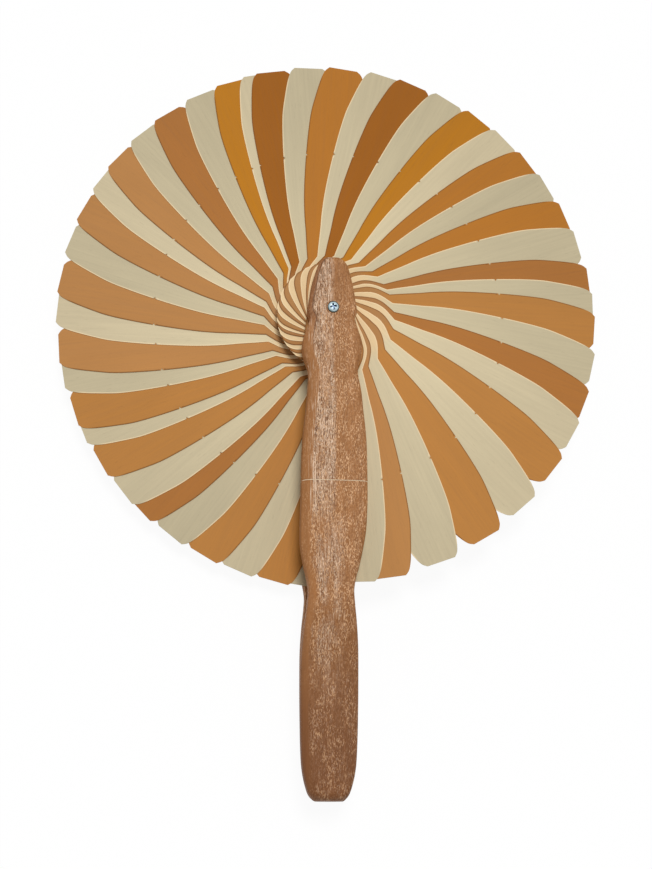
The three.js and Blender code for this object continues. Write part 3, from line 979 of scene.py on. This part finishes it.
def thread_mesh(settings, guard_settings):
    """Two strands twisted together, tied once round a guard in its groove."""
    row = [tuple(point) for point in smooth_row(GUARD_SIDE, 6)]
    loop = guard_loop(THREAD_REACH, width_at(row, THREAD_REACH), guard_settings, THREAD_DEPTH)
    spots = evenly(loop, STRAND_STEP)
    radius = settings.ply_radius / MILLIMETRE
    offset = settings.ply_offset / MILLIMETRE
    turns = round(len(spots) * STRAND_STEP / (settings.twist / MILLIMETRE))
    points = []
    faces = []
    for ply in range(2):
        start = len(points)
        for index, spot in enumerate(spots):
            ahead = spots[(index + 1) % len(spots)] - spots[index - 1]
            out = Vector((ahead.y, -ahead.x)).normalized()
            twist = 2 * math.pi * turns * index / len(spots) + math.pi * ply
            middle = (math.cos(twist) * offset, math.sin(twist) * offset)
            for corner in range(6):
                turn = math.pi * corner / 3
                sideways = middle[0] + radius * math.cos(turn)
                endways = middle[1] + radius * math.sin(turn)
                across = spot.x + out.x * sideways + guard_middle(THREAD_REACH)
                points.append((across, endways - THREAD_REACH, spot.y + out.y * sideways))
        for index in range(len(spots)):
            for corner in range(6):
                here = start + index * 6
                there = start + (index + 1) % len(spots) * 6
                beside = (corner + 1) % 6
                faces.append((here + corner, here + beside, there + beside, there + corner))
    mesh = mesh_from("thread", points, faces)
    mesh.shade_smooth()
    return mesh


class HAND_FAN_OT_thread(Operator):
    """Tie the linking thread round each guard"""

    bl_idname = "hand_fan.thread"
    bl_label = "Thread"

    def execute(self, context):
        settings = context.scene.hand_fan_thread
        guards = context.scene.hand_fan_guards
        cotton = make_cotton_finish(settings)
        places = {"front_guard": in_front(), "rear_guard": turned_over()}
        for guard, place in places.items():
            node = f"{guard}_thread"
            mesh = thread_mesh(settings, guards)
            if guard == "rear_guard":
                mesh.transform(Matrix.Rotation(-REAR_TURN, 4, "Z"))
            add_piece(f"{node}_turn", mesh, cotton, guard, [node], place)
        return {"FINISHED"}


# Pivot.


def recess_cutter(span, width, top, depth):
    """A cross that narrows downwards."""
    points = []
    for level, length_share, width_share in ((top + 1, 1.35, 1.3), (top - depth, 0.5, 0.6)):
        long = span / 2 * length_share
        thick = width / 2 * width_share
        arm = [(long, -thick), (long, thick), (thick, thick)]
        for quarter in range(4):
            turn = Matrix.Rotation(quarter * math.pi / 2 + 0.2, 2)
            points += [(*(turn @ Vector(corner)), level) for corner in arm]
    faces = [tuple(range(12)), tuple(range(12, 24))]
    for corner in range(12):
        beside = (corner + 1) % 12
        faces.append((corner, beside, beside + 12, corner + 12))
    return mesh_from("recess", points, faces)


def screw_mesh(settings):
    """A pan-head screw, its head in the front guard's seat and its end flush with the back."""
    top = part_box("pivot_screw")[1].z / MILLIMETRE
    under = top - SCREW_HEAD_HEIGHT
    radius = settings.head_radius / MILLIMETRE
    profile = [(0, 0), (1.3, 0), (1.5, 0.2), (1.5, under), (radius - 0.12, under), (radius, under + 0.12)]
    for step in range(13):
        turn = math.pi / 2 * step / 12
        profile.append((radius * math.cos(turn), under + 0.62 + (top - under - 0.62) * math.sin(turn)))
    body = turned_mesh("screw", profile, settings.facets)
    span = settings.recess_span / MILLIMETRE
    mesh = cut_away(body, [recess_cutter(span, 1.25, top, 1.35)])
    soften(mesh, 30)
    return mesh


def ring_profile(inner, outer, low, high, edge):
    """A flat ring's section with its outer edges taken off."""
    under = [(inner, low), (outer - edge, low), (outer, low + edge)]
    return [*under, (outer, high - edge), (outer - edge, high), (inner, high)]


def nut_mesh(low, high, across_flats, bore):
    """A six-sided nut with its corners turned off."""
    corner = across_flats / 2 / math.cos(math.pi / 6)
    flats = turned_mesh("flats", [(bore, low), (corner, low), (corner, high), (bore, high)], 6)
    slope = 0.45
    profile = [
        (across_flats / 2 - 0.1, low - 1),
        (corner + 3, low - 1),
        (corner + 3, low + slope + 1.7),
        (across_flats / 2 - 0.1, low),
    ]
    under = turned_mesh("under", profile, 72)
    over = turned_mesh("over", [(radius, low + high - level) for radius, level in profile], 72)
    mesh = cut_away(flats, [under, over])
    soften(mesh, 30)
    return mesh


class HAND_FAN_OT_pivot(Operator):
    """Make the pivot: the screw, its washer and its nut"""

    bl_idname = "hand_fan.pivot"
    bl_label = "Pivot"

    def execute(self, context):
        settings = context.scene.hand_fan_pivot
        plating = make_plating_finish(settings)
        low, high = (corner.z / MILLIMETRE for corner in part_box("pivot_washer"))
        washer = turned_mesh("washer", ring_profile(NUT_BORE, WASHER_RADIUS, low, high, 0.1), settings.facets)
        soften(washer, 30)
        low, high = (corner.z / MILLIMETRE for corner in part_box("pivot_nut"))
        nut = nut_mesh(low, high, NUT_ACROSS_FLATS, NUT_BORE)
        pieces = {"pivot_screw": screw_mesh(settings), "pivot_washer": washer, "pivot_nut": nut}
        for node, mesh in pieces.items():
            add_piece(f"{node}_plated", mesh, plating, "rear_guard", [node])
        return {"FINISHED"}


# Stage.


def is_seen(recipe):
    """1 where the eye sees a surface straight, mirrored or through glass."""
    names = ("Is Camera Ray", "Is Glossy Ray", "Is Transmission Ray")
    paths = [recipe.add("ShaderNodeLightPath", output=name) for name in names]
    return paths[0].most(paths[1]).most(paths[2])


def make_floor(settings):
    """A wide white floor that keeps a soft share of the fan's shadow."""
    recipe = Recipe(bpy.data.materials.new("white_floor"))
    shaded = recipe.add("ShaderNodeBsdfDiffuse", sockets={"Color": (*settings.floor, 1)})
    glow = recipe.add("ShaderNodeEmission", sockets={"Color": (1, 1, 1, 1), "Strength": 1.0})
    part = is_seen(recipe) * settings.keep_white
    surface = recipe.add("ShaderNodeMixShader", sockets={0: part, 1: shaded, 2: glow})
    recipe.add("ShaderNodeOutputMaterial", sockets={"Surface": surface})
    corners = [(x * FLOOR_REACH, y * FLOOR_REACH, -0.1) for x, y in ((-1, -1), (1, -1), (1, 1), (-1, 1))]
    mesh = bpy.data.meshes.new("floor")
    mesh.from_pydata([Vector(corner) * MILLIMETRE for corner in corners], [], [(0, 1, 2, 3)])
    mesh.materials.append(recipe.holder)
    floor = bpy.data.objects.new("floor", mesh)
    bpy.context.scene.collection.objects.link(floor)


def make_world(scene, settings):
    """White all round where it is seen, and a plain fill light elsewhere."""
    scene.world = bpy.data.worlds.new("studio")
    recipe = Recipe(scene.world)
    strength = settings.fill + is_seen(recipe) * (1 - settings.fill)
    light = recipe.add("ShaderNodeBackground", sockets={"Color": (1, 1, 1, 1), "Strength": strength})
    recipe.add("ShaderNodeOutputWorld", sockets={"Surface": light})


class HAND_FAN_OT_stage(Operator):
    """Set the floor, the light and the camera"""

    bl_idname = "hand_fan.stage"
    bl_label = "Stage"

    def execute(self, context):
        scene = context.scene
        settings = scene.hand_fan_stage
        make_floor(settings)
        make_world(scene, settings)
        sun = bpy.data.lights.new("key", "SUN")
        sun.energy = settings.key
        sun.angle = math.radians(20)
        lamp = bpy.data.objects.new("key", sun)
        lamp.rotation_euler = Vector((0.02, 0.34, 1)).to_track_quat("Z", "Y").to_euler()
        scene.collection.objects.link(lamp)
        camera = bpy.data.cameras.new("camera")
        camera.lens = 73.41
        camera.sensor_width = 36
        camera.sensor_fit = "AUTO"
        holder = bpy.data.objects.new("camera", camera)
        holder.location = Vector((-109.7, -291.6, 960.28)) * MILLIMETRE
        holder.rotation_euler = [math.radians(angle) for angle in (13.34, -6.63, 0.23)]
        scene.collection.objects.link(holder)
        scene.camera = holder
        scene.view_settings.view_transform = "Standard"
        return {"FINISHED"}


OPERATORS = [
    HAND_FAN_OT_guards,
    HAND_FAN_OT_blades,
    HAND_FAN_OT_thread,
    HAND_FAN_OT_pivot,
    HAND_FAN_OT_stage,
]


class HAND_FAN_PT_sidebar(Panel):
    """Lists the fan's pieces and their sizes and colours"""

    bl_label = "Wooden hand fan"
    bl_space_type = "VIEW_3D"
    bl_region_type = "UI"
    bl_category = "Hand fan"

    def draw(self, context):
        for operator in OPERATORS:
            self.layout.operator(operator.bl_idname)
        for name, group in SETTINGS.items():
            box = self.layout.box()
            for setting in group.__annotations__:
                box.prop(getattr(context.scene, name), setting)


def register():
    """Make the settings, the operators and the panel known."""
    for group in (*SETTINGS.values(), *OPERATORS, HAND_FAN_PT_sidebar):
        bpy.utils.register_class(group)
    for name, group in SETTINGS.items():
        setattr(bpy.types.Scene, name, PointerProperty(type=group))


def unregister():
    """Take away what register made known."""
    for name in SETTINGS:
        delattr(bpy.types.Scene, name)
    for group in (HAND_FAN_PT_sidebar, *OPERATORS, *SETTINGS.values()):
        bpy.utils.unregister_class(group)


def main():
    """Make the whole fan and its stage."""
    register()
    bpy.ops.hand_fan.guards()
    bpy.ops.hand_fan.blades()
    bpy.ops.hand_fan.thread()
    bpy.ops.hand_fan.pivot()
    bpy.ops.hand_fan.stage()


if __name__ == "__main__":
    main()
